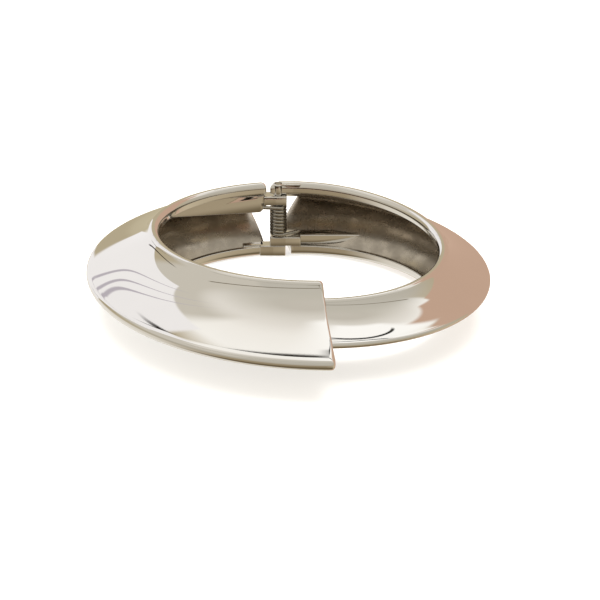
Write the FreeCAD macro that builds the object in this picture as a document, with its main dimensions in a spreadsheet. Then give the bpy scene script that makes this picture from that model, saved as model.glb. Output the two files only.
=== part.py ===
"""Hinged bangle bracelet: two hollow cast halves, a hinge pin and a torsion spring.

Millimetres, +Z up. The origin is the centre of the wrist opening at mid-height, and +Y points
to the hinge. Each half is a channel, open towards the wrist, whose section changes along the
half. In plan its inner rim and its outer edge each follow an ellipse of their own. The left
half ends in a sleeve at the front, and the tongue of the right half tucks inside the sleeve.
"""

import FreeCAD
import Part
import math
import os

from FreeCAD import Placement, Rotation, Vector

DIMENSIONS = [
    # alias, value, meaning
    ("half_height", 8.77, "mid-height to the crest of the left half and of the hinge"),
    ("tongue_half_height", 4.5, "mid-height to the crest at the tip of the tongue"),
    ("tongue_taper_power", 1.38, "how late the right half loses its height"),
    ("crest_radius", 1.2, "rounding of the rim"),
    ("lip_share", 0.27, "height of the inner lip, as a share of the half height"),
    ("wall", 1.1, "thickness of the casting"),
    ("bar_skin", 0.5, "depth at which the hinge bars end inside the wall"),
    ("mouth_run_out", 2.0, "how far the mouth cutter stands clear of the rim"),
    ("crest_slope_gain", 30.0, "degrees by which the flare is steeper than its mean at the rim"),
    ("crest_handle", 0.25, "pull of the flare's curve at the rim, as a share of its chord"),
    ("edge_handle", 0.45, "pull of the flare's curve at the edge, as a share of its chord"),
    ("edge_slope_share", 0.5, "share of the mean slope left at the outer edge"),
    ("edge_solid", 1.6, "solid metal between the hollow and the outer edge"),
    ("edge_hollow_radius", 0.35, "rounding of the hollow towards the outer edge"),
    ("left_inner_x", 1.3, "centre of the left inner ellipse"),
    ("left_inner_y", 0.0, "centre of the left inner ellipse"),
    ("left_inner_long", 30.7, "long semi-axis"),
    ("left_inner_short", 23.4, "short semi-axis"),
    ("left_inner_turn", -8.4, "degrees from X to the long axis"),
    ("left_outer_x", 2.8, "centre of the left outer ellipse"),
    ("left_outer_y", -2.9, "centre of the left outer ellipse"),
    ("left_outer_long", 46.8, "long semi-axis"),
    ("left_outer_short", 40.3, "short semi-axis"),
    ("left_outer_turn", -14.8, "degrees from X to the long axis"),
    ("left_edge_radius", 1.1, "rounding of the left half's outer edge"),
    ("right_inner_x", 3.6, "centre of the right inner ellipse"),
    ("right_inner_y", -0.4, "centre of the right inner ellipse"),
    ("right_inner_long", 27.2, "long semi-axis"),
    ("right_inner_short", 22.5, "short semi-axis"),
    ("right_inner_turn", -32.4, "degrees from X to the long axis"),
    ("right_outer_x", -0.45, "centre of the right outer ellipse"),
    ("right_outer_y", 1.5, "centre of the right outer ellipse"),
    ("right_outer_long", 42.1, "long semi-axis"),
    ("right_outer_short", 35.4, "short semi-axis"),
    ("right_outer_turn", -30.4, "degrees from X to the long axis"),
    ("right_edge_radius", 0.65, "rounding of the right half's outer edge"),
    ("sleeve_end_x", 2.2, "where the plane of the sleeve's end meets the X axis"),
    ("sleeve_end_turn", 7.0, "degrees between the sleeve's end and the YZ plane"),
    ("tongue_end_angle", -97.0, "polar angle of the tip of the tongue"),
    ("pin_x", -4.2, "hinge axis"),
    ("pin_y", 24.0, "hinge axis"),
    ("pin_radius", 0.75, "hinge pin"),
    ("bore_run_out", 1.0, "how far the bore cutters pass the rims"),
    ("pin_clearance", 0.05, "radial running clearance in the right half's lugs"),
    ("top_knuckle_radius", 1.25, "round end of the topmost lug, inside the rim"),
    ("inner_lug_end", 1.9, "end of the inner lugs beyond the pin"),
    ("inner_lug_front", 1.45, "front of the inner lugs, from the pin towards the wrist"),
    ("lowest_lug_end", 1.6, "end of the lowest lug beyond the pin"),
    ("lowest_lug_front", 1.15, "front of the lowest lug, from the pin towards the wrist"),
    ("inner_lug_low", 3.9, "inner face of the inner lugs, from mid-height"),
    ("inner_lug_high", 6.0, "outer face of the inner lugs"),
    ("outer_lug_low", 6.15, "inner face of the outer lugs"),
    ("outer_lug_high", 8.6, "outer face of the outer lugs"),
    ("top_lug_front", 0.4, "front of the topmost lug, from the pin towards the wrist"),
    ("lug_back", 1.6, "back of every lug, from the pin outwards"),
    ("lug_overlap", 1.0, "run of the lowest lug into its bar"),
    ("bar_depth", 3.0, "thickness of a hinge bar, outwards from the pin"),
    ("bar_length", 26.0, "end of the long hinge bars, from the pin"),
    ("left_bar_low", 1.8, "underside of the left upper hinge bar"),
    ("left_bar_turn", 8.0, "degrees by which the left bars lean in"),
    ("left_bar_start", 2.6, "plain stretch between the pin and the left upper bar"),
    ("left_bar_chamfer", 1.4, "chamfer at the spring end of the left upper bar"),
    ("left_foot_start", 3.2, "plain stretch between the pin and the left lower bar"),
    ("left_foot_length", 8.0, "end of the left lower hinge bar, from the pin"),
    ("right_lug_length", 5.0, "run of the right half's lugs, from the pin"),
    ("lug_relief_radius", 2.9, "room in the right half for the left half's lugs"),
    ("lug_relief_gap", 0.08, "height of that room beyond the lug"),
    ("left_gap_x", -6.85, "end of the left rim, level with the pin"),
    ("left_gap_turn", 25.0, "degrees by which the left end is cut back outwards"),
    ("right_gap_x", -5.85, "end of the right rim, level with the pin"),
    ("right_gap_turn", 24.0, "degrees by which the right end is cut back outwards"),
    ("wire_radius", 0.4, "spring wire"),
    ("coil_radius", 1.52, "spring coil, to the middle of the wire"),
    ("coil_pitch", 0.82, "rise of one turn"),
    ("coil_turns", 8.1, "turns of the spring"),
    ("coil_start", -60.0, "polar angle about the pin at which the lower leg leaves"),
    ("lower_leg", 4.2, "length of the leg on the right half"),
    ("upper_leg", 3.2, "length of the leg on the left half"),
    ("pin_end_rounding", 0.25, "rounding at the ends of the pin"),
]

STATIONS = 27
LEFT_SPAN = (100.0, 290.0)
RIGHT_START = 109.0
CUTTER = 60.0
CUTTER_REACH = 10.0

doc = FreeCAD.newDocument("bangle")
sheet = doc.addObject("Spreadsheet::Sheet", "dimensions")
for row, (alias, value, meaning) in enumerate(DIMENSIONS, start=1):
    sheet.set(f"A{row}", meaning)
    sheet.set(f"B{row}", str(value))
    sheet.setAlias(f"B{row}", alias)
doc.recompute()


def size(alias):
    """Value of one cell of the sheet."""
    return float(sheet.get(alias))


def bind(thing, **expressions):
    """Ties properties of a document object to cells of the sheet."""
    for name, expression in expressions.items():
        thing.setExpression(name.replace("__", "."), expression)


def reach(ellipse, angle):
    """Distance from the origin to a named ellipse, along a polar angle in degrees."""
    turn = math.radians(size(ellipse + "_turn"))
    along = math.radians(angle) - turn
    centre_x = size(ellipse + "_x")
    centre_y = size(ellipse + "_y")
    origin_u = -(centre_x * math.cos(turn) + centre_y * math.sin(turn)) / size(ellipse + "_long")
    origin_v = (centre_x * math.sin(turn) - centre_y * math.cos(turn)) / size(ellipse + "_short")
    step_u = math.cos(along) / size(ellipse + "_long")
    step_v = math.sin(along) / size(ellipse + "_short")
    square = step_u ** 2 + step_v ** 2
    middle = origin_u * step_u + origin_v * step_v
    rest = origin_u ** 2 + origin_v ** 2 - 1.0
    return (math.sqrt(middle ** 2 - square * rest) - middle) / square


def left_height(angle):
    """Half height of the left half: the same all the way."""
    return size("half_height")


def right_height(angle):
    """Half height of the right half: full at the hinge, low at the tongue."""
    span = 90.0 - size("tongue_end_angle")
    travelled = max(0.0, min(1.0, (90.0 - angle) / span))
    drop = size("half_height") - size("tongue_half_height")
    return size("half_height") - drop * travelled ** size("tongue_taper_power")


def profile_at(side, height, angle, depth):
    """Poles of the upper half of a section, in radius and height, at a depth below its skin."""
    inner = reach(side + "_inner", angle)
    outer = reach(side + "_outer", angle)
    tall = height(angle)
    crest = size("crest_radius")
    sunk = depth / size("wall")
    edge_radius = size(side + "_edge_radius")
    edge_radius += (size("edge_hollow_radius") - edge_radius) * sunk
    edge_centre = outer - size("edge_solid") * sunk
    mean = math.atan2(tall - crest, outer - inner - crest)
    steep = mean + math.radians(size("crest_slope_gain"))
    flat = mean * size("edge_slope_share")
    middle = (steep - math.pi / 2.0) / 2.0
    radius = crest - depth
    centre_z = tall - crest
    start = (inner + crest + radius * math.sin(steep), centre_z + radius * math.cos(steep))
    end = (edge_centre + edge_radius * math.sin(flat), edge_radius * math.cos(flat))
    chord = math.hypot(end[0] - start[0], end[1] - start[1])
    first = size("crest_handle") * chord
    last = size("edge_handle") * chord
    return {
        "rim": (inner + depth, centre_z),
        "crest": (inner + crest + radius * math.sin(middle), centre_z + radius * math.cos(middle)),
        "flare": [
            start,
            (start[0] + first * math.cos(steep), start[1] - first * math.sin(steep)),
            (end[0] - last * math.cos(flat), end[1] + last * math.sin(flat)),
            end,
        ],
        "edge": (edge_centre + edge_radius, 0.0),
    }


def place(angle, point, sign=1.0):
    """Point of a section, given as radius and height, in the vertical plane at an angle."""
    turn = math.radians(angle)
    return Vector(point[0] * math.cos(turn), point[0] * math.sin(turn), sign * point[1])


def filled_section(side, height, angle, depth):
    """Closed section: edge, two flares, two crests, and a straight line across the mouth."""
    profile = profile_at(side, height, angle, depth)
    start = profile["flare"][0]
    end = profile["flare"][3]

    def flare(sign):
        curve = Part.BezierCurve()
        curve.setPoles([place(angle, pole, sign) for pole in profile["flare"]])
        return curve.toShape()

    def arc(*points):
        return Part.Arc(*points).toShape()

    upper = place(angle, profile["rim"])
    lower = place(angle, profile["rim"], -1.0)
    edges = [
        arc(upper, place(angle, profile["crest"]), place(angle, start)),
        flare(1.0),
        arc(place(angle, end), place(angle, profile["edge"]), place(angle, end, -1.0)),
        flare(-1.0),
        arc(place(angle, start, -1.0), place(angle, profile["crest"], -1.0), lower),
        Part.LineSegment(lower, upper).toShape(),
    ]
    return Part.Wire(Part.__sortEdges__(edges))


def mouth_section(side, height, angle):
    """Rectangle between the two lips, through the wall of the mouth."""
    inner = reach(side + "_inner", angle)
    tall = height(angle) * (1.0 - size("lip_share"))
    near = inner - size("mouth_run_out")
    far = inner + size("crest_radius")
    corners = [(near, -tall), (far, -tall), (far, tall), (near, tall), (near, -tall)]
    return Part.makePolygon([place(angle, corner) for corner in corners])


def loft(label, section, span):
    """Solid through the sections at equal steps of the polar angle."""
    first, last = span
    angles = [first + (last - first) * step / (STATIONS - 1) for step in range(STATIONS)]
    feature = doc.addObject("Part::Feature", label)
    feature.Shape = Part.makeLoft([section(angle) for angle in angles], True, False)
    return feature


def about(x, y, turn, shift):
    """Placement expression: a point and a turn about Z, then a shift in the turned frame."""
    return (
        f"placement(vector({x}; {y}; 0); rotation(vector(0; 0; 1); {turn}))"
        f" * placement(vector({shift}); rotation(vector(0; 0; 1); 0))"
    )


def box(label, length, width, tall, placement):
    """Box whose sizes and place are tied to the sheet."""
    feature = doc.addObject("Part::Box", label)
    bind(feature, Length=length, Width=width, Height=tall, Placement=placement)
    return feature


def post(label, radius, low, high):
    """Upright cylinder on the hinge axis, between two heights."""
    feature = doc.addObject("Part::Cylinder", label)
    bind(feature, Radius=radius, Height=f"{high} - ({low})",
         Placement=about(PIN_X, PIN_Y, "0", f"0; 0; {low}"))
    return feature


def lug_bar(label, start, end, front, back, low, high, turn="0"):
    """Straight bar of a lug, from start to end along X and from front to back, about the pin."""
    return box(label, f"{end} - ({start})", f"{back} - ({front})", f"{high} - ({low})",
               about(PIN_X, PIN_Y, turn, f"{start}; {front}; {low}"))


def combine(kind, label, shapes):
    """Fuse or common of several objects."""
    feature = doc.addObject(kind, label)
    feature.Shapes = shapes
    return feature


def cut(label, base, tool):
    """Base without the tool."""
    feature = doc.addObject("Part::Cut", label)
    feature.Base = base
    feature.Tool = tool
    return feature


def shell_and_core(side, height, span):
    """Hollow half, and the solid inside which its hinge bars stay."""
    blank = loft(f"{side}_blank", lambda angle: filled_section(side, height, angle, 0.0), span)
    hollow = loft(f"{side}_hollow",
                  lambda angle: filled_section(side, height, angle, size("wall")), span)
    mouth = loft(f"{side}_mouth", lambda angle: mouth_section(side, height, angle), span)
    core = loft(f"{side}_core",
                lambda angle: filled_section(side, height, angle, size("bar_skin")), span)
    shell = cut(f"{side}_shell", cut(f"{side}_open_blank", blank, hollow), mouth)
    return shell, core


def chamfer_lowest_edge(label, bar, distance):
    """Chamfer along the lower edge of a bar's end that faces the pin."""
    doc.recompute()
    edges = bar.Shape.Edges
    nearest = max(
        range(len(edges)),
        key=lambda number: edges[number].CenterOfMass.x - edges[number].CenterOfMass.z,
    )
    feature = doc.addObject("Part::Chamfer", label)
    feature.Base = bar
    feature.Edges = [(nearest + 1, distance, distance)]
    return feature


D = "dimensions."
PIN_X = D + "pin_x"
PIN_Y = D + "pin_y"
ABOVE_RIM = f"{D}half_height + {D}bore_run_out"
BELOW_RIM = f"-{D}half_height - {D}bore_run_out"

# Left half: sleeve at the front, upper inner lug and lowest lug at the hinge.
left_shell, left_core = shell_and_core("left", left_height, LEFT_SPAN)
left_hinge_cut = box(
    "left_hinge_cut", f"{CUTTER}", f"{CUTTER}", f"{CUTTER}",
    about(D + "left_gap_x", PIN_Y, D + "left_gap_turn", f"0; {-CUTTER_REACH}; {-CUTTER / 2}"))
sleeve_cut = box(
    "sleeve_cut", f"{CUTTER}", f"{CUTTER}", f"{CUTTER}",
    about(D + "sleeve_end_x", "0", D + "sleeve_end_turn", f"0; {-CUTTER}; {-CUTTER / 2}"))
left_trimmed = cut("left_trimmed", cut("left_end_cut", left_shell, left_hinge_cut), sleeve_cut)
left_bar = lug_bar(
    "left_bar", f"-{D}bar_length", f"-{D}left_bar_start", "0", D + "bar_depth",
    D + "left_bar_low", D + "inner_lug_high", D + "left_bar_turn")
left_foot = lug_bar(
    "left_foot", f"-{D}left_foot_length", f"-{D}left_foot_start", "0", D + "bar_depth",
    f"-{D}outer_lug_high", f"-{D}outer_lug_low", D + "left_bar_turn")
left_bars = combine("Part::MultiFuse", "left_bars", [
    chamfer_lowest_edge("left_bar_end", left_bar, size("left_bar_chamfer")), left_foot])
left_half = cut(
    "left_half",
    combine("Part::MultiFuse", "left_body", [
        left_trimmed,
        combine("Part::MultiCommon", "left_bars_inside", [left_bars, left_core]),
        lug_bar("left_inner_lug", f"-{D}left_foot_start", D + "inner_lug_end",
                f"-{D}inner_lug_front", D + "lug_back", D + "inner_lug_low",
                D + "inner_lug_high"),
        lug_bar("lowest_lug", f"-{D}left_foot_start - {D}lug_overlap", D + "lowest_lug_end",
                f"-{D}lowest_lug_front", D + "lug_back", f"-{D}outer_lug_high",
                f"-{D}outer_lug_low"),
    ]),
    post("left_bore", D + "pin_radius", BELOW_RIM, ABOVE_RIM))

# Right half: tongue at the front, topmost lug and lower inner lug at the hinge.
right_shell, right_core = shell_and_core(
    "right", right_height, (size("tongue_end_angle"), RIGHT_START))
right_hinge_cut = box(
    "right_hinge_cut", f"{CUTTER}", f"{CUTTER}", f"{CUTTER}",
    about(D + "right_gap_x", PIN_Y, f"-{D}right_gap_turn",
          f"{-CUTTER}; {-CUTTER_REACH}; {-CUTTER / 2}"))
lug_relief = combine("Part::MultiFuse", "lug_relief", [
    post("lower_relief", D + "lug_relief_radius", BELOW_RIM,
         f"-{D}inner_lug_high - {D}lug_relief_gap"),
    post("upper_relief", D + "lug_relief_radius", D + "left_bar_low",
         f"{D}inner_lug_high + {D}lug_relief_gap"),
])
right_trimmed = cut(
    "right_trimmed", cut("right_end_cut", right_shell, right_hinge_cut), lug_relief)
right_bar = lug_bar("right_bar", "0", D + "bar_length", "0", D + "bar_depth",
                    f"-{D}inner_lug_high", f"-{D}inner_lug_low")
right_half = cut(
    "right_half",
    combine("Part::MultiFuse", "right_body", [
        right_trimmed,
        combine("Part::MultiCommon", "right_bar_inside", [right_bar, right_core]),
        post("top_knuckle", D + "top_knuckle_radius", D + "outer_lug_low",
             D + "outer_lug_high"),
        lug_bar("topmost_lug", "0", D + "right_lug_length", f"-{D}top_lug_front",
                D + "lug_back", D + "outer_lug_low", D + "outer_lug_high"),
        lug_bar("right_inner_lug", f"-{D}inner_lug_end", D + "right_lug_length",
                f"-{D}inner_lug_front", D + "lug_back", f"-{D}inner_lug_high",
                f"-{D}inner_lug_low"),
    ]),
    post("right_bore", D + "pin_radius + " + D + "pin_clearance", BELOW_RIM, ABOVE_RIM))

# Hinge pin: a plain wire pin, fixed in the left half, with rounded ends.
pin_blank = post("pin_blank", D + "pin_radius", f"-{D}outer_lug_high", D + "outer_lug_high")
doc.recompute()
hinge_pin = doc.addObject("Part::Fillet", "hinge_pin")
hinge_pin.Base = pin_blank
hinge_pin.Edges = [
    (number, size("pin_end_rounding"), size("pin_end_rounding"))
    for number, edge in enumerate(pin_blank.Shape.Edges, start=1)
    if edge.Closed
]

# Torsion spring: a close coil round the pin, one leg along each half.
coil_height = f"{D}coil_pitch * {D}coil_turns"
coil_path = doc.addObject("Part::Helix", "coil_path")
coil_path.LocalCoord = "Left-handed"
bind(coil_path, Pitch=D + "coil_pitch", Height=coil_height, Radius=D + "coil_radius",
     Placement=about(PIN_X, PIN_Y, D + "coil_start", f"0; 0; -{coil_height} / 2"))
wire_section = doc.addObject("Part::Circle", "wire_section")
bind(wire_section, Radius=D + "wire_radius")
start_turn = Rotation(Vector(0, 0, 1), size("coil_start"))
coil_foot = Vector(size("pin_x"), size("pin_y"), -size("coil_pitch") * size("coil_turns") / 2)
wire_section.Placement = Placement(
    coil_foot + start_turn.multVec(Vector(size("coil_radius"), 0, 0)),
    start_turn.multiply(Rotation(Vector(1, 0, 0), 90)))
coil = doc.addObject("Part::Sweep", "coil")
doc.recompute()
coil.Sections = [wire_section]
coil.Spine = (coil_path, [f"Edge{n + 1}" for n in range(len(coil_path.Shape.Edges))])
coil.Solid = True
coil.Frenet = True


def spring_leg(label, angle, heading, height, length):
    """Straight leg that leaves the coil along its tangent."""
    turn = Rotation(Vector(0, 0, 1), angle)
    leg = doc.addObject("Part::Cylinder", label)
    bind(leg, Radius=D + "wire_radius", Height=length)
    leg.Placement = Placement(
        Vector(size("pin_x"), size("pin_y"), height)
        + turn.multVec(Vector(size("coil_radius"), 0, 0)),
        Rotation(Vector(0, 0, 1), turn.multVec(Vector(0, heading, 0))))
    return leg


coil_rise = size("coil_pitch") * size("coil_turns") / 2
upper_angle = size("coil_start") - 360.0 * size("coil_turns")
hinge_spring = combine("Part::MultiFuse", "hinge_spring", [
    coil,
    spring_leg("lower_leg", size("coil_start"), 1.0, -coil_rise, D + "lower_leg"),
    spring_leg("upper_leg", upper_angle, -1.0, coil_rise, D + "upper_leg"),
])

doc.recompute()
failed = [thing.Label for thing in doc.Objects if {"Invalid", "Error"} & set(thing.State)]
if failed:
    raise RuntimeError(f"failed objects: {failed}")
os.makedirs("parts", exist_ok=True)
for node in (left_half, right_half, hinge_pin, hinge_spring):
    shape = node.Shape
    if shape.isNull() or not shape.isValid() or len(shape.Solids) != 1:
        raise RuntimeError(f"{node.Label} is not one valid solid: {len(shape.Solids)} solids")
    shape.exportStep(f"parts/{node.Label}.step")
    print(node.Label, round(shape.Volume, 2), shape.BoundBox)
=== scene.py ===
"""Studio scene for the hinged bangle bracelet.

Metres, +Z up, in the frame of the CAD model: the origin is the centre of the wrist opening at
mid-height, and +Y points to the hinge.
"""
import math

import bmesh
import bpy
import numpy as np
from mathutils import Matrix, Vector


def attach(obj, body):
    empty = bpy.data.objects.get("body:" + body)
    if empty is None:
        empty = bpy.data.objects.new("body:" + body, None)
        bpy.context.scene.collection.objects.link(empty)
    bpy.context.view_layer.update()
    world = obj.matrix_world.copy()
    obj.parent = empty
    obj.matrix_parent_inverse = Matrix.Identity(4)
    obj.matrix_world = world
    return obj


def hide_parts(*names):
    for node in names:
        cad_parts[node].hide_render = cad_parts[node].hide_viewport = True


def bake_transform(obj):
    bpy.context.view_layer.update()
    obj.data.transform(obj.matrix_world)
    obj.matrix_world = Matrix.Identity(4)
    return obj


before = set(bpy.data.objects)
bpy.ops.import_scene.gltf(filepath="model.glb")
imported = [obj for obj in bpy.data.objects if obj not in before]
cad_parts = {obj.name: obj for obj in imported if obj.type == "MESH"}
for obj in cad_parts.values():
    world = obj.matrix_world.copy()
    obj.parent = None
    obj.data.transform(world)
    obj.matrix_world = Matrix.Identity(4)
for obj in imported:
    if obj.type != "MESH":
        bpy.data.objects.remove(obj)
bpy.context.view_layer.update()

MM = 0.001

# Driving dimensions of the CAD model, in millimetres and degrees.
HALF_HEIGHT = 8.77
TONGUE_HALF_HEIGHT = 4.5
TONGUE_TAPER_POWER = 1.38
TONGUE_END_ANGLE = -97.0
CREST_RADIUS = 1.2
LIP_SHARE = 0.27
WALL = 1.1
BAR_SKIN = 0.5
CREST_SLOPE_GAIN = 30.0
CREST_HANDLE = 0.25
EDGE_HANDLE = 0.45
EDGE_SLOPE_SHARE = 0.5
EDGE_SOLID = 1.6
EDGE_HOLLOW_RADIUS = 0.35
PIN = (-4.2, 24.0)
PIN_RADIUS = 0.75
PIN_CLEARANCE = 0.05
BORE_RUN_OUT = 1.0
TOP_KNUCKLE_RADIUS = 1.0
INNER_LUG_END = 1.9
INNER_LUG_FRONT = 1.45
LOWEST_LUG_END = 1.6
LOWEST_LUG_FRONT = 1.15
INNER_LUG = (3.9, 6.0)
OUTER_LUG = (6.15, 8.6)
TOP_LUG_FRONT = 0.4
LUG_BACK = 1.6
LUG_OVERLAP = 1.0
BAR_DEPTH = 3.0
BAR_LENGTH = 26.0
LEFT_BAR_LOW = 1.8
LEFT_BAR_TURN = 8.0
LEFT_BAR_START = 2.6
LEFT_BAR_CHAMFER = 1.4
LEFT_FOOT = (3.2, 8.0)
RIGHT_LUG_LENGTH = 5.0
RELIEF_RADIUS = 2.9
RELIEF_GAP = 0.08
WIRE_RADIUS = 0.4
COIL_RADIUS = 1.52
COIL_PITCH = 0.82
COIL_TURNS = 8.1
COIL_START = -60.0
LOWER_LEG = 4.2
UPPER_LEG = 3.2

# Each half: ellipses as centre, semi-axes and turn, the rounding of the outer edge, and the planes
# at its two ends, each as a point, the direction of its normal into the metal, the polar angles
# between which it lies, and the share of END_ROUNDING that it gets.
LEFT = {
    "inner": (1.3, 0.0, 30.7, 23.4, -8.4),
    "outer": (2.8, -2.9, 46.8, 40.3, -14.8),
    "edge_radius": 1.1,
    "ends": [((-6.85, 24.0), 205.0, (92.0, 130.0), 1.0), ((2.2, 0.0), 187.0, (240.0, 300.0), 1.0)],
}
RIGHT = {
    "inner": (3.6, -0.4, 27.2, 22.5, -32.4),
    "outer": (-0.45, 1.5, 42.1, 35.4, -30.4),
    "edge_radius": 0.65,
    "ends": [((0.0, 0.0), TONGUE_END_ANGLE + 90.0, (-110.0, -80.0), 0.4),
             ((-5.85, 24.0), -24.0, (80.0, 118.0), 1.0)],
}

# Roundings that only the visible meshes carry. END_ROUNDING goes with the place in a section, as
# skin_points counts it: large at the crest and the outer edge, small on the flare.
END_ROUNDING = ((0.0, 2.0, 2.3, 2.8, 3.0, 4.0), (0.85, 0.85, 0.42, 0.42, 0.85, 0.92))
INNER_END_ROUNDING = 0.15
LIP_ROUNDING = 0.2
LUG_BEVEL = 0.25

# Where the numbers that run along a section change: at the tip of the outer edge, and back at the
# lip after one whole round.
SECTION_TIP = 4.0
SECTION_ROUND = 8.0

# How finely the visible meshes are divided. Lines run along a half and stations lie across it.
# HALVINGS is how often the search for a half's end plane narrows, and SAME_PLACE is in metres.
RIM_LINES = 4
CREST_LINES = 12
FLARE_LINES = 30
EDGE_LINES = 9
LIP_LINES = 5
CORE_LINES = 40
SHELL_STATIONS = 260
CORE_STATIONS = 120
CORNER_STEPS = 6
BEVEL_SEGMENTS = 3
POST_SIDES = 64
WIRE_SIDES = 16
COIL_STEPS_PER_TURN = 40
LEG_STEPS = 8
HALVINGS = 40
SAME_PLACE = 1e-6
CASTING_SHARP_ANGLE = 32.0
WIRE_SHARP_ANGLE = 40.0

# Camera: distance in millimetres, elevation in degrees, and what frames the bangle.
CAMERA_DISTANCE = 450.0
CAMERA_ELEVATION = 26.0
CAMERA_LENS = 126.9
CAMERA_SHIFT = (0.00483, -0.0563)


# ---------------------------------------------------------------- camera

def add_camera():
    """Looks down at the wrist opening from the side opposite the hinge."""
    distance = CAMERA_DISTANCE * MM
    elevation = math.radians(CAMERA_ELEVATION)
    data = bpy.data.cameras.new("camera")
    data.lens = CAMERA_LENS
    data.sensor_width = 36.0
    data.shift_x, data.shift_y = CAMERA_SHIFT
    data.clip_start = 0.01
    camera = bpy.data.objects.new("camera", data)
    camera.location = (0.0, -distance * math.cos(elevation), distance * math.sin(elevation))
    camera.rotation_euler = (math.pi / 2 - elevation, 0.0, 0.0)
    bpy.context.scene.collection.objects.link(camera)
    bpy.context.scene.camera = camera


# ---------------------------------------------------------------- node helpers

def add_node(tree, kind, **values):
    """New node, with its properties set by name and its inputs by name or number."""
    node = tree.nodes.new(kind)
    inputs = values.pop("inputs", {})
    for name, value in values.items():
        setattr(node, name, value)
    for name, value in inputs.items():
        if isinstance(value, bpy.types.NodeSocket):
            tree.links.new(value, node.inputs[name])
        else:
            node.inputs[name].default_value = value
    return node


def ramp(tree, factor, stops):
    """Linear colour ramp through (position, colour) stops."""
    node = tree.nodes.new("ShaderNodeValToRGB")
    elements = node.color_ramp.elements
    while len(elements) < len(stops):
        elements.new(0.5)
    for element, (position, colour) in zip(elements, stops):
        element.position = position
        element.color = (*colour, 1.0)
    tree.links.new(factor, node.inputs["Fac"])
    return node.outputs["Color"]


def math_node(tree, operation, *values):
    """Output of a Math node on numbers or sockets."""
    node = tree.nodes.new("ShaderNodeMath")
    node.operation = operation
    for number, value in enumerate(values):
        if isinstance(value, bpy.types.NodeSocket):
            tree.links.new(value, node.inputs[number])
        else:
            node.inputs[number].default_value = value
    return node.outputs["Value"]


def mix_colour(tree, factor, first, second):
    """Output of a colour Mix node."""
    node = tree.nodes.new("ShaderNodeMix")
    node.data_type = "RGBA"
    for name, value in (("Factor", factor), ("A", first), ("B", second)):
        socket = next(s for s in node.inputs if s.name == name and s.enabled)
        if isinstance(value, bpy.types.NodeSocket):
            tree.links.new(value, socket)
        else:
            socket.default_value = value
    return next(s for s in node.outputs if s.enabled)


# ---------------------------------------------------------------- the two halves

def polar_reach(ellipse, angle):
    """Distances from the origin to an ellipse, along polar angles in degrees."""
    centre_x, centre_y, long_axis, short_axis, turned = ellipse
    turn = math.radians(turned)
    along = np.radians(angle) - turn
    origin_u = -(centre_x * math.cos(turn) + centre_y * math.sin(turn)) / long_axis
    origin_v = (centre_x * math.sin(turn) - centre_y * math.cos(turn)) / short_axis
    step_u = np.cos(along) / long_axis
    step_v = np.sin(along) / short_axis
    square = step_u ** 2 + step_v ** 2
    middle = origin_u * step_u + origin_v * step_v
    rest = origin_u ** 2 + origin_v ** 2 - 1.0
    return (np.sqrt(middle ** 2 - square * rest) - middle) / square


def half_heights(half, angle):
    """Mid-height to crest: constant on the left half, falling towards the tongue on the right."""
    if half is LEFT:
        return np.full_like(angle, HALF_HEIGHT)
    travelled = np.clip((90.0 - angle) / (90.0 - TONGUE_END_ANGLE), 0.0, 1.0)
    return HALF_HEIGHT - (HALF_HEIGHT - TONGUE_HALF_HEIGHT) * travelled ** TONGUE_TAPER_POWER


def fold_up(along):
    """Places in a section, with those of its lower part moved to their twins in the upper one."""
    return np.where(along > SECTION_TIP, SECTION_ROUND - along, along)


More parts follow.
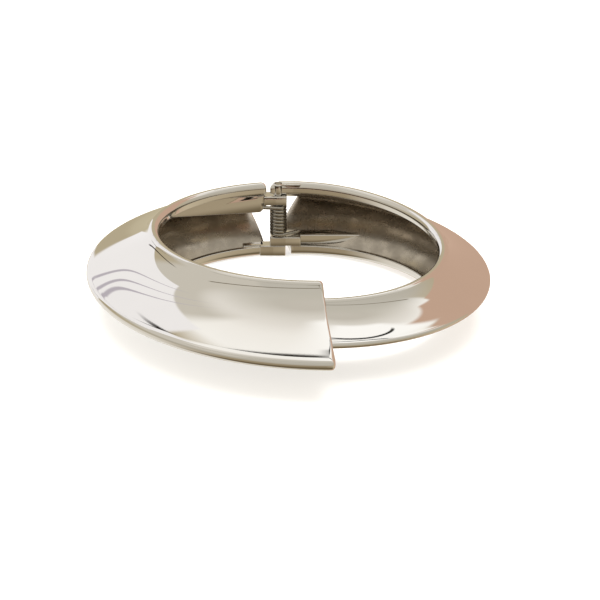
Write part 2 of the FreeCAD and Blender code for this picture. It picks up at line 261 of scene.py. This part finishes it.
def skin_points(half, angle, along, depth, rise):
    """Points of a half, for arrays of one value per point.

    along runs 0 to 8 round the section: 0 to 1 up the inner rim from the lip, to 2 over the
    crest, to 3 down the flare, to 4 round to the tip of the outer edge, and back below. depth is
    how far below the outer skin the point lies, and rise how far above the lip's edge.
    """
    inner = polar_reach(half["inner"], angle)
    outer = polar_reach(half["outer"], angle)
    tall = half_heights(half, angle)
    upper = fold_up(along)
    sign = np.where(along > SECTION_TIP, -1.0, 1.0)
    sunk = depth / WALL
    edge_radius = half["edge_radius"] + (EDGE_HOLLOW_RADIUS - half["edge_radius"]) * sunk
    edge_centre = outer - EDGE_SOLID * sunk
    mean = np.arctan2(tall - CREST_RADIUS, outer - inner - CREST_RADIUS)
    steep = mean + math.radians(CREST_SLOPE_GAIN)
    flat = mean * EDGE_SLOPE_SHARE
    radius = CREST_RADIUS - depth
    centre_r = inner + CREST_RADIUS
    centre_z = tall - CREST_RADIUS

    lip = tall * (1.0 - LIP_SHARE) + rise
    share = np.clip(upper, 0.0, 1.0)
    rim = (inner + depth, lip + (centre_z - lip) * share)
    swing = -math.pi / 2 + (steep + math.pi / 2) * np.clip(upper - 1.0, 0.0, 1.0)
    crest = (centre_r + radius * np.sin(swing), centre_z + radius * np.cos(swing))
    start = (centre_r + radius * np.sin(steep), centre_z + radius * np.cos(steep))
    end = (edge_centre + edge_radius * np.sin(flat), edge_radius * np.cos(flat))
    chord = np.hypot(end[0] - start[0], end[1] - start[1])
    first = (start[0] + CREST_HANDLE * chord * np.cos(steep),
             start[1] - CREST_HANDLE * chord * np.sin(steep))
    last = (end[0] - EDGE_HANDLE * chord * np.cos(flat),
            end[1] + EDGE_HANDLE * chord * np.sin(flat))
    share = np.clip(upper - 2.0, 0.0, 1.0)
    rest = 1 - share
    weights = (rest ** 3, 3 * share * rest ** 2, 3 * share ** 2 * rest, share ** 3)
    flare = [sum(weight * pole[axis] for weight, pole in zip(weights, (start, first, last, end)))
             for axis in range(2)]
    swing = flat + (math.pi / 2 - flat) * np.clip(upper - 3.0, 0.0, 1.0)
    edge = (edge_centre + edge_radius * np.sin(swing), edge_radius * np.cos(swing))

    part = np.minimum(upper.astype(int), 3)
    distance = np.choose(part, [rim[0], crest[0], flare[0], edge[0]])
    height = np.choose(part, [rim[1], crest[1], flare[1], edge[1]])
    turn = np.radians(angle)
    return np.stack([distance * np.cos(turn), distance * np.sin(turn), sign * height], axis=-1)


def angles_on_plane(half, end, offset, along, depth, rise):
    """Polar angle at which each line of the skin meets an end plane moved into the metal."""
    point, heading, bracket, _ = end
    normal = np.array([math.cos(math.radians(heading)), math.sin(math.radians(heading)), 0.0])
    base = np.array([point[0], point[1], 0.0])

    def gap(angle):
        return (skin_points(half, angle, along, depth, rise) - base) @ normal - offset

    low = np.full(along.shape, bracket[0])
    high = np.full(along.shape, bracket[1])
    low_sign = np.sign(gap(low))
    for _ in range(HALVINGS):
        middle = (low + high) / 2
        same = np.sign(gap(middle)) == low_sign
        low = np.where(same, middle, low)
        high = np.where(same, high, middle)
    return (low + high) / 2


def section_lines():
    """Lines of the skin round a section: outer skin, lower lip, hollow, upper lip.

    Returns arrays of along, depth and rise, and how many lines the outer skin and a lip have.
    """
    upper = np.concatenate([
        np.linspace(0.0, 1.0, RIM_LINES, endpoint=False),
        np.linspace(1.0, 2.0, CREST_LINES, endpoint=False),
        np.linspace(2.0, 3.0, FLARE_LINES, endpoint=False),
        np.linspace(3.0, SECTION_TIP, EDGE_LINES),
    ])
    skin = np.concatenate([upper, SECTION_ROUND - upper[-2::-1]])
    quarter = np.radians(np.linspace(0.0, 90.0, LIP_LINES))
    corner_depth = LIP_ROUNDING * (1 - np.cos(quarter))
    corner_rise = LIP_ROUNDING * (1 - np.sin(quarter))
    lip_depth = np.concatenate([corner_depth[1:], WALL - corner_depth[:0:-1]])
    lip_rise = np.concatenate([corner_rise[1:], corner_rise[:0:-1]])
    along = np.concatenate([skin, np.full(lip_depth.shape, SECTION_ROUND), skin[::-1],
                            np.zeros(lip_depth.shape)])
    depth = np.concatenate([np.zeros(skin.shape), lip_depth, np.full(skin.shape, WALL),
                            lip_depth[::-1]])
    rise = np.concatenate([np.full(skin.shape, LIP_ROUNDING), lip_rise,
                           np.full(skin.shape, LIP_ROUNDING), lip_rise[::-1]])
    return along, depth, rise, len(skin), len(lip_depth)


def shell_mesh(half):
    """Closed mesh of one hollow half, with rounded ends. Faces of the hollow get material 1.

    Each end is closed by a strip of faces between the outer skin and the hollow, and by one face
    across each lip.
    """
    along, depth, rise, skin_count, lip_count = section_lines()
    lines = len(along)
    rows = []
    sweep = []
    for end in half["ends"]:
        rounding = end[3] * np.interp(fold_up(along), *END_ROUNDING)
        corner = []
        for turn in np.linspace(0.0, math.pi / 2, CORNER_STEPS):
            inset = 1 - math.sin(turn)
            offset = rounding * (1 - math.cos(turn))
            outer_depth = rounding * inset
            inner_depth = WALL - INNER_END_ROUNDING * inset
            row_depth = outer_depth + (inner_depth - outer_depth) * depth / WALL
            row_rise = rise + np.where(depth > 0, INNER_END_ROUNDING * inset, 0.0)
            angle = angles_on_plane(half, end, offset, along, row_depth, row_rise)
            corner.append(skin_points(half, angle, along, row_depth, row_rise))
        rows.append(corner)
        sweep.append(angle)
    first, last = sweep
    middle = [skin_points(half, first + (last - first) * share, along, depth, rise)
              for share in np.linspace(0.0, 1.0, SHELL_STATIONS)[1:-1]]
    grid = rows[0] + middle + rows[1][::-1]
    points = np.concatenate(grid) * MM

    faces = []
    kinds = []
    hollow = range(skin_count + lip_count, 2 * skin_count + lip_count - 1)
    for row in range(len(grid) - 1):
        for line in range(lines):
            after = (line + 1) % lines
            here = row * lines
            there = here + lines
            faces.append((here + line, here + after, there + after, there + line))
            kinds.append(1 if line in hollow else 0)
    for base, flip in ((0, False), ((len(grid) - 1) * lines, True)):
        cap = []
        opposite = 2 * skin_count + lip_count - 1
        for line in range(skin_count - 1):
            cap.append((line, opposite - line, opposite - line - 1, line + 1))
        cap.append(tuple(range(skin_count - 1, skin_count + lip_count + 1))[::-1])
        cap.append(tuple(list(range(opposite, lines)) + [0])[::-1])
        for face in cap:
            face = tuple(base + number for number in face)
            faces.append(face[::-1] if flip else face)
            kinds.append(0)
    mesh = bpy.data.meshes.new("shell")
    mesh.from_pydata(points.tolist(), [], faces)
    mesh.polygons.foreach_set("material_index", kinds)
    return mesh


def tube_faces(rings, sides):
    """Faces of a closed tube whose points come ring by ring, with a flat face at each end."""
    faces = [(ring * sides + side, ring * sides + (side + 1) % sides,
              (ring + 1) * sides + (side + 1) % sides, (ring + 1) * sides + side)
             for ring in range(rings - 1) for side in range(sides)]
    faces.append(tuple(range(sides))[::-1])
    faces.append(tuple(range((rings - 1) * sides, rings * sides)))
    return faces


def core_mesh(half):
    """Closed mesh of the solid inside which the hinge bars of a half stay."""
    upper = np.linspace(1.0, SECTION_TIP, CORE_LINES)
    along = np.concatenate([upper, SECTION_ROUND - upper[-2::-1]])
    depth = np.full(along.shape, BAR_SKIN)
    rise = np.zeros(along.shape)
    first, last = [angles_on_plane(half, end, 0.0, along, depth, rise) for end in half["ends"]]
    rows = [skin_points(half, first + (last - first) * share, along, depth, rise)
            for share in np.linspace(0.0, 1.0, CORE_STATIONS)]
    mesh = bpy.data.meshes.new("core")
    mesh.from_pydata((np.concatenate(rows) * MM).tolist(), [], tube_faces(len(rows), len(along)))
    return mesh


def new_object(name, mesh):
    """Links a mesh to the scene as an object."""
    piece = bpy.data.objects.new(name, mesh)
    bpy.context.scene.collection.objects.link(piece)
    return piece


def shade_smooth(mesh, sharp_angle):
    """Smooth shading, broken at edges sharper than an angle in degrees."""
    mesh.polygons.foreach_set("use_smooth", [True] * len(mesh.polygons))
    mesh.set_sharp_from_angle(angle=math.radians(sharp_angle))


def outward(piece):
    """Turns all faces of a closed mesh outwards."""
    work = bmesh.new()
    work.from_mesh(piece.data)
    bmesh.ops.recalc_face_normals(work, faces=work.faces)
    work.to_mesh(piece.data)
    work.free()
    return piece


def combine(piece, tool, operation):
    """Exact boolean of two closed objects. The tool is used up."""
    modifier = piece.modifiers.new("boolean", "BOOLEAN")
    modifier.operation = operation
    modifier.solver = "EXACT"
    modifier.object = tool
    graph = bpy.context.evaluated_depsgraph_get()
    result = bpy.data.meshes.new_from_object(piece.evaluated_get(graph))
    piece.modifiers.clear()
    piece.data = result
    bpy.data.objects.remove(tool)
    return piece


def lug_frame(turn=0.0):
    """Frame on the hinge axis at mid-height, turned about it."""
    place = Matrix.Translation((PIN[0] * MM, PIN[1] * MM, 0.0))
    return place @ Matrix.Rotation(math.radians(turn), 4, "Z")


def bar_object(start, end, front, back, low, high, turn=0.0, chamfer=0.0):
    """Bar of a lug with bevelled edges, from start to end along X, about the pin.

    The chamfer is along its lower edge at the end.
    """
    work = bmesh.new()
    bmesh.ops.create_cube(work, size=1.0)
    for vertex in work.verts:
        for axis, (least, most) in enumerate(((start, end), (front, back), (low, high))):
            vertex.co[axis] = (most if vertex.co[axis] > 0 else least) * MM
    if chamfer:
        edges = [edge for edge in work.edges
                 if all(abs(vertex.co.x - end * MM) < SAME_PLACE
                        and abs(vertex.co.z - low * MM) < SAME_PLACE for vertex in edge.verts)]
        bmesh.ops.bevel(work, geom=edges, offset=chamfer * MM, offset_type="OFFSET", segments=1,
                        affect="EDGES")
    bmesh.ops.bevel(work, geom=list(work.edges), offset=LUG_BEVEL * MM, offset_type="OFFSET",
                    segments=BEVEL_SEGMENTS, profile=0.5, affect="EDGES")
    bmesh.ops.transform(work, matrix=lug_frame(turn), verts=work.verts)
    mesh = bpy.data.meshes.new("bar")
    work.to_mesh(mesh)
    work.free()
    return outward(new_object("bar", mesh))


def post_object(radius, low, high, bevel=0.0):
    """Upright cylinder on the hinge axis."""
    work = bmesh.new()
    bmesh.ops.create_cone(work, cap_ends=True, segments=POST_SIDES, radius1=radius * MM,
                          radius2=radius * MM, depth=(high - low) * MM)
    if bevel:
        rings = [edge for edge in work.edges
                 if any(len(face.verts) == POST_SIDES for face in edge.link_faces)]
        bmesh.ops.bevel(work, geom=rings, offset=bevel * MM, offset_type="OFFSET",
                        segments=BEVEL_SEGMENTS, profile=0.5, affect="EDGES")
    shift = Matrix.Translation((0.0, 0.0, (low + high) / 2 * MM))
    bmesh.ops.transform(work, matrix=lug_frame() @ shift, verts=work.verts)
    mesh = bpy.data.meshes.new("post")
    work.to_mesh(mesh)
    work.free()
    return outward(new_object("post", mesh))


def in_core(half, bar):
    """Part of a bar that stays inside the metal and the hollow of its half."""
    return combine(bar, outward(new_object("core", core_mesh(half))), "INTERSECT")


def bore_object(radius):
    """Post that bores a hole through the whole height of a half."""
    reach = HALF_HEIGHT + BORE_RUN_OUT
    return post_object(radius, -reach, reach)


def start_half(half, materials):
    """Shell of a half, with its materials: the outside first, then the hollow."""
    piece = outward(new_object("half", shell_mesh(half)))
    for material in materials:
        piece.data.materials.append(material)
    return piece


def drop_folded_faces(mesh):
    """Deletes both faces wherever a boolean left two faces on the same corners."""
    work = bmesh.new()
    work.from_mesh(mesh)
    by_corners = {}
    for face in work.faces:
        by_corners.setdefault(frozenset(face.verts), []).append(face)
    folded = [face for faces in by_corners.values() if len(faces) == 2 for face in faces]
    bmesh.ops.delete(work, geom=folded, context="FACES")
    work.to_mesh(mesh)
    work.free()


def finish_half(piece, name, body):
    """Names a half and makes it stand for its CAD node."""
    piece.name = name
    piece.data.name = name
    drop_folded_faces(piece.data)
    shade_smooth(piece.data, CASTING_SHARP_ANGLE)
    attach(piece, body)
    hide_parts(name.replace("_casting", ""))
    return piece


def add_left_half(materials):
    """Half with the sleeve, the upper inner lug and the lowest lug."""
    piece = start_half(LEFT, materials)
    top = LEFT_BAR_LOW, INNER_LUG[1]
    lowest = -OUTER_LUG[1], -OUTER_LUG[0]
    additions = [
        in_core(LEFT, bar_object(-BAR_LENGTH, -LEFT_BAR_START, 0.0, BAR_DEPTH, *top,
                                 turn=LEFT_BAR_TURN, chamfer=LEFT_BAR_CHAMFER)),
        in_core(LEFT, bar_object(-LEFT_FOOT[1], -LEFT_FOOT[0], 0.0, BAR_DEPTH, *lowest,
                                 turn=LEFT_BAR_TURN)),
        bar_object(-LEFT_FOOT[0], INNER_LUG_END, -INNER_LUG_FRONT, LUG_BACK, *INNER_LUG),
        bar_object(-LEFT_FOOT[0] - LUG_OVERLAP, LOWEST_LUG_END, -LOWEST_LUG_FRONT, LUG_BACK,
                   *lowest),
    ]
    for addition in additions:
        combine(piece, addition, "UNION")
    combine(piece, bore_object(PIN_RADIUS), "DIFFERENCE")
    return finish_half(piece, "left_half_casting", "left")


def add_right_half(materials):
    """Half with the tongue, the topmost lug and the lower inner lug."""
    piece = start_half(RIGHT, materials)
    reliefs = ((-HALF_HEIGHT - BORE_RUN_OUT, -INNER_LUG[1] - RELIEF_GAP),
               (LEFT_BAR_LOW, INNER_LUG[1] + RELIEF_GAP))
    for bottom, top in reliefs:
        combine(piece, post_object(RELIEF_RADIUS, bottom, top), "DIFFERENCE")
    low = -INNER_LUG[1], -INNER_LUG[0]
    additions = [
        in_core(RIGHT, bar_object(0.0, BAR_LENGTH, 0.0, BAR_DEPTH, *low)),
        post_object(TOP_KNUCKLE_RADIUS, *OUTER_LUG, bevel=LUG_BEVEL),
        bar_object(0.0, RIGHT_LUG_LENGTH, -TOP_LUG_FRONT, LUG_BACK, *OUTER_LUG),
        bar_object(-INNER_LUG_END, RIGHT_LUG_LENGTH, -INNER_LUG_FRONT, LUG_BACK, *low),
    ]
    for addition in additions:
        combine(piece, addition, "UNION")
    combine(piece, bore_object(PIN_RADIUS + PIN_CLEARANCE), "DIFFERENCE")
    return finish_half(piece, "right_half_casting", "right")


# ---------------------------------------------------------------- the spring

def add_spring(material):
    """Close left-handed coil round the pin, with a straight leg at each end."""
    rise = COIL_PITCH * COIL_TURNS
    turned = 360.0 * COIL_TURNS
    count = int(COIL_STEPS_PER_TURN * COIL_TURNS)
    coil = []
    for number in range(count + 1):
        share = number / count
        angle = math.radians(COIL_START - turned * share)
        coil.append(Vector((COIL_RADIUS * math.cos(angle), COIL_RADIUS * math.sin(angle),
                            rise * (share - 0.5))))

    def leg(tip, angle, heading, length):
        turn = math.radians(angle)
        way = Vector((-math.sin(turn), math.cos(turn), 0.0)) * heading
        return [tip + way * length * number / LEG_STEPS for number in range(1, LEG_STEPS + 1)]

    lower = leg(coil[0], COIL_START, 1.0, LOWER_LEG)
    upper = leg(coil[-1], COIL_START - turned, -1.0, UPPER_LEG)
    path = [point + Vector((PIN[0], PIN[1], 0.0)) for point in lower[::-1] + coil + upper]

    points = []
    for number, point in enumerate(path):
        ahead = path[min(number + 1, len(path) - 1)]
        behind = path[max(number - 1, 0)]
        tangent = (ahead - behind).normalized()
        side = tangent.cross(Vector((0.0, 0.0, 1.0))).normalized()
        up = side.cross(tangent)
        for step in range(WIRE_SIDES):
            turn = 2 * math.pi * step / WIRE_SIDES
            reach = (side * math.cos(turn) + up * math.sin(turn)) * WIRE_RADIUS
            points.append((point + reach) * MM)
    mesh = bpy.data.meshes.new("spring_wire")
    mesh.from_pydata(points, [], tube_faces(len(path), WIRE_SIDES))
    mesh.materials.append(material)
    spring = outward(new_object("spring_wire", mesh))
    shade_smooth(mesh, WIRE_SHARP_ANGLE)
    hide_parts("hinge_spring")
    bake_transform(spring)
    return spring


# ---------------------------------------------------------------- studio

FLOOR_Z = -HALF_HEIGHT * MM
FLOOR_RADIUS = 0.60
FLOOR_SIDES = 96
FLOOR_COLOUR = (0.9, 0.9, 0.895)
FLOOR_ROUGHNESS = 0.9

# Each light: name, place and power, and whether it casts shadows.
LIGHT_SIZE = 0.9
LIGHTS = [
    ("top_light", (0.0, 0.1, 0.9), 6.0, True),
    ("fill_light", (0.0, -0.1, 0.9), 9.0, False),
]

STUDIO_STRENGTH = 1.18
SCREEN_GAMMA = 2.2
LINE_END_SOFTNESS = 2.0

# The front of the studio blends into the back between these forward shares of a direction, and its
# lower part into its upper part between these heights, in degrees.
FRONT_TO_BACK = (-0.35, 0.35)
BELOW_TO_ABOVE = (-5.0, 3.0)

# Colours up the front and the back of the studio, from straight down at 0 to straight up at 1, and
# round its lower part, from the bearing -180 at 0 to 180 at 1.
FRONT_TONES = [
    (0.50, (164, 156, 140)),
    (0.62, (176, 170, 157)),
    (0.80, (184, 179, 168)),
    (0.93, (186, 181, 169)),
    (1.0, (192, 186, 175)),
]
BACK_TONES = [
    (0.50, (172, 160, 134)),
    (0.755, (180, 168, 144)),
    (0.775, (242, 239, 233)),
    (0.815, (236, 232, 225)),
    (0.85, (222, 217, 209)),
    (0.90, (208, 203, 193)),
    (0.945, (190, 184, 173)),
    (1.0, (190, 184, 173)),
]
LOW_TONES = [
    (0.0, (140, 126, 102)),
    (0.12, (150, 136, 112)),
    (0.22, (206, 199, 186)),
    (0.42, (232, 228, 222)),
    (0.445, (181, 170, 144)),
    (0.51, (181, 170, 144)),
    (0.53, (186, 156, 134)),
    (0.66, (186, 160, 138)),
    (0.75, (186, 172, 146)),
    (1.0, (150, 136, 112)),
]

# Bearings are in degrees from the back of the studio, positive to the right; heights are in
# degrees above the horizon. Each surface: what it is, two bearings, two heights, how soft its
# sides and its ends are, and its colour.
STUDIO_SURFACES = [
    ("beige wall at the left", (-140.0, -24.0), (26.0, 61.0), 4.0, 5.0, (194, 188, 176)),
    ("pale wall at the left back", (-57.0, -18.2), (-9.0, 50.2), 0.6, 0.5, (234, 231, 230)),
    ("lamp at the back", (-1.0, 27.0), (50.0, 67.5), 5.0, 2.5, (250, 248, 244)),
    ("tan wall at the right back", (9.5, 76.0), (-26.0, 48.0), 1.0, 1.0, (188, 158, 138)),
    ("top of the tan wall", (27.0, 66.0), (44.0, 57.0), 3.0, 1.5, (188, 158, 138)),
    ("bright sill under the lamp", (-9.0, 20.0), (47.3, 50.0), 2.0, 0.4, (246, 243, 236)),
    ("shade below the camera", (110.0, 250.0), (-95.0, -32.0), 20.0, 10.0, (104, 92, 72)),
]

# Curved lines in the studio: what each is, two bearings, the bearing of the line's turning point,
# its height there, how fast it bends away, half its thickness, and its colour.
STUDIO_LINES = [
    ("lowest fold of the pale wall", (-52.0, -20.0), -23.0, 25.7, 0.033, 0.55, (178, 171, 178)),
    ("middle fold of the pale wall", (-44.0, -20.0), -23.0, 29.8, 0.066, 0.55, (178, 171, 178)),
    ("upper fold of the pale wall", (-36.0, -20.0), -23.0, 32.5, 0.145, 0.75, (178, 171, 178)),
    ("dark slot at the left", (-21.0, 1.5), -2.0, 50.9, -0.024, 0.45, (40, 36, 30)),
    ("dark slot at the right", (1.5, 20.0), 3.0, 51.6, 0.022, 0.6, (44, 42, 38)),
    ("dark cable at the left", (-78.0, -46.0), -40.0, 5.0, 0.018, 0.9, (46, 38, 34)),
    ("rail on the camera's side", (100.0, 262.0), 180.0, 57.8, -0.0012, 0.8, (120, 112, 98)),
]


def tone(red, green, blue):
    """Linear colour of a screen colour given as 0 to 255."""
    return tuple((channel / 255.0) ** SCREEN_GAMMA for channel in (red, green, blue))


def tone_ramp(tree, factor, tones):
    """Colour ramp through (position, screen colour) stops."""
    return ramp(tree, factor, [(position, tone(*shade)) for position, shade in tones])


def soft_step(tree, value, start, end):
    """0 up to the start and 1 from the end on, with a smooth change between. Either may be larger."""
    return add_node(tree, "ShaderNodeMapRange", interpolation_type="SMOOTHSTEP",
                    inputs={"Value": value, "From Min": start, "From Max": end}).outputs["Result"]


def band(tree, value, limits, softness):
    """1 between two limits and 0 outside, with soft sides."""
    first, last = limits
    return math_node(tree, "MULTIPLY", soft_step(tree, value, first - softness, first + softness),
                     soft_step(tree, value, last + softness, last - softness))


def add_world():
    """Studio round the object, as one colour for each direction."""
    world = bpy.data.worlds.new("studio")
    bpy.context.scene.world = world
    world.use_nodes = True
    tree = world.node_tree
    background = tree.nodes["Background"]
    direction = add_node(tree, "ShaderNodeTexCoord").outputs["Generated"]
    parts = add_node(tree, "ShaderNodeSeparateXYZ", inputs={0: direction}).outputs
    degree = 180.0 / math.pi
    bearing = math_node(tree, "ARCTAN2", parts["X"], parts["Y"])
    bearing = math_node(tree, "MULTIPLY", bearing, degree)
    height = math_node(tree, "MULTIPLY", math_node(tree, "ARCSINE", parts["Z"]), degree)
    rise_share = math_node(tree, "MULTIPLY_ADD", height, 1 / 180.0, 0.5)
    round_share = math_node(tree, "MULTIPLY_ADD", bearing, 1 / 360.0, 0.5)
    front = tone_ramp(tree, rise_share, FRONT_TONES)
    back = tone_ramp(tree, rise_share, BACK_TONES)
    low = tone_ramp(tree, round_share, LOW_TONES)
    colour = mix_colour(tree, soft_step(tree, parts["Y"], *FRONT_TO_BACK), front, back)
    colour = mix_colour(tree, soft_step(tree, height, *BELOW_TO_ABOVE), low, colour)

    # Surfaces and lines that reach across the bearing 180 are placed on bearings from -90 to 270.
    wrapped = math_node(tree, "WRAP", bearing, 270.0, -90.0)
    for _, bearings, heights, side_softness, end_softness, shade in STUDIO_SURFACES:
        around = wrapped if bearings[1] > 90.0 else bearing
        mask = math_node(tree, "MULTIPLY", band(tree, around, bearings, side_softness),
                         band(tree, height, heights, end_softness))
        colour = mix_colour(tree, mask, colour, (*tone(*shade), 1.0))
    for _, bearings, middle, level, bend, thickness, shade in STUDIO_LINES:
        around = wrapped if bearings[1] > 90.0 else bearing
        aside = math_node(tree, "SUBTRACT", around, middle)
        drop = math_node(tree, "MULTIPLY", math_node(tree, "MULTIPLY", aside, aside), bend)
        line = band(tree, math_node(tree, "SUBTRACT", height, drop),
                    (level - thickness, level + thickness), thickness / 2)
        mask = math_node(tree, "MULTIPLY", band(tree, around, bearings, LINE_END_SOFTNESS), line)
        colour = mix_colour(tree, mask, colour, (*tone(*shade), 1.0))
    tree.links.new(colour, background.inputs["Color"])
    background.inputs["Strength"].default_value = STUDIO_STRENGTH


def add_floor():
    """Plain white paper under the object. The metal mirrors the studio, and not the paper."""
    turns = [2 * math.pi * number / FLOOR_SIDES for number in range(FLOOR_SIDES)]
    ring = [(FLOOR_RADIUS * math.cos(turn), FLOOR_RADIUS * math.sin(turn), FLOOR_Z)
            for turn in turns]
    mesh = bpy.data.meshes.new("floor")
    mesh.from_pydata(ring, [], [list(range(FLOOR_SIDES))])
    floor = bpy.data.objects.new("floor", mesh)
    material = bpy.data.materials.new("floor_paper")
    material.use_nodes = True
    shader = material.node_tree.nodes["Principled BSDF"]
    shader.inputs["Base Color"].default_value = (*FLOOR_COLOUR, 1.0)
    shader.inputs["Roughness"].default_value = FLOOR_ROUGHNESS
    mesh.materials.append(material)
    floor.visible_glossy = False
    bpy.context.scene.collection.objects.link(floor)


def add_area_light(name, place, power, shadow):
    """Square soft light aimed at the object. No reflection shows it, and no camera."""
    data = bpy.data.lights.new(name, "AREA")
    data.shape = "SQUARE"
    data.size = LIGHT_SIZE
    data.energy = power
    data.use_shadow = shadow
    light = bpy.data.objects.new(name, data)
    light.location = place
    light.rotation_euler = (-Vector(place)).to_track_quat("-Z", "Y").to_euler()
    light.visible_camera = False
    light.visible_glossy = False
    bpy.context.scene.collection.objects.link(light)


def add_studio():
    """World, floor and lights, shown without a film curve."""
    view = bpy.context.scene.view_settings
    view.view_transform = "Standard"
    view.look = "None"
    add_world()
    add_floor()
    for light in LIGHTS:
        add_area_light(*light)


# ---------------------------------------------------------------- materials

# Noise of the patches, waves and grain, and the noise levels between which a patch fades out.
PATCHES_PER_WAVE = 2.2
PATCH_DETAIL = 5.0
WAVE_DETAIL = 1.0
GRAIN_DETAIL = 4.0
PATCH_COLOUR_LEVELS = (0.3, 0.62)
PATCH_POLISH_LEVELS = (0.3, 0.7)


def metal(name, colour, tarnish, roughness, spread, wave, wave_height, grain, grain_height):
    """Metal whose polish and surface vary.

    Patches are darker by the tarnish and rougher by the spread. wave and grain are how many bumps
    there are in a metre, and their heights are in metres: slow waves bend what the metal mirrors,
    and grain blurs it.
    """
    material = bpy.data.materials.new(name)
    material.use_nodes = True
    tree = material.node_tree
    shader = tree.nodes["Principled BSDF"]
    shader.inputs["Metallic"].default_value = 1.0
    place = add_node(tree, "ShaderNodeTexCoord").outputs["Object"]
    patches = add_node(tree, "ShaderNodeTexNoise",
                       inputs={"Vector": place, "Scale": wave * PATCHES_PER_WAVE,
                               "Detail": PATCH_DETAIL}).outputs["Fac"]
    shade = [tuple(channel * factor for channel in colour) for factor in (1.0 - tarnish, 1.0)]
    tree.links.new(ramp(tree, patches, list(zip(PATCH_COLOUR_LEVELS, shade))),
                   shader.inputs["Base Color"])
    polish = add_node(tree, "ShaderNodeMapRange",
                      inputs={"Value": patches, "From Min": PATCH_POLISH_LEVELS[0],
                              "From Max": PATCH_POLISH_LEVELS[1],
                              "To Min": roughness + spread, "To Max": roughness})
    tree.links.new(polish.outputs["Result"], shader.inputs["Roughness"])
    normal = None
    for scale, height, detail in ((wave, wave_height, WAVE_DETAIL),
                                  (grain, grain_height, GRAIN_DETAIL)):
        noise = add_node(tree, "ShaderNodeTexNoise",
                         inputs={"Vector": place, "Scale": scale, "Detail": detail})
        bump = add_node(tree, "ShaderNodeBump",
                        inputs={"Height": noise.outputs["Fac"], "Distance": height})
        if normal:
            tree.links.new(normal, bump.inputs["Normal"])
        normal = bump.outputs["Normal"]
    tree.links.new(normal, shader.inputs["Normal"])
    return material


add_camera()
add_studio()
plating = metal("bright_plating", (0.86, 0.85, 0.83), tarnish=0.012, roughness=0.02, spread=0.008,
                wave=60.0, wave_height=2.5e-5, grain=2500.0, grain_height=2e-7)
# Hollow: its base colour, darker and browner than the plating, is partly the duller metal inside the
# casting and partly painted shade and a painted brown reflection of the bangle's inside.
hollow = metal("plated_hollow_painted_shade", (0.66, 0.61, 0.545), tarnish=0.25, roughness=0.17, spread=0.2,
               wave=130.0, wave_height=2.2e-4, grain=900.0, grain_height=6e-6)
steel = metal("pin_steel", (0.60, 0.58, 0.55), tarnish=0.1, roughness=0.16, spread=0.1,
              wave=300.0, wave_height=5e-6, grain=3000.0, grain_height=1e-6)
wire_steel = metal("spring_wire_steel", (0.52, 0.50, 0.46), tarnish=0.1, roughness=0.18, spread=0.12,
                   wave=400.0, wave_height=5e-6, grain=4000.0, grain_height=1e-6)
add_left_half([plating, hollow])
add_right_half([plating, hollow])
add_spring(wire_steel)
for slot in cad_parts["hinge_pin"].material_slots:
    slot.material = steel
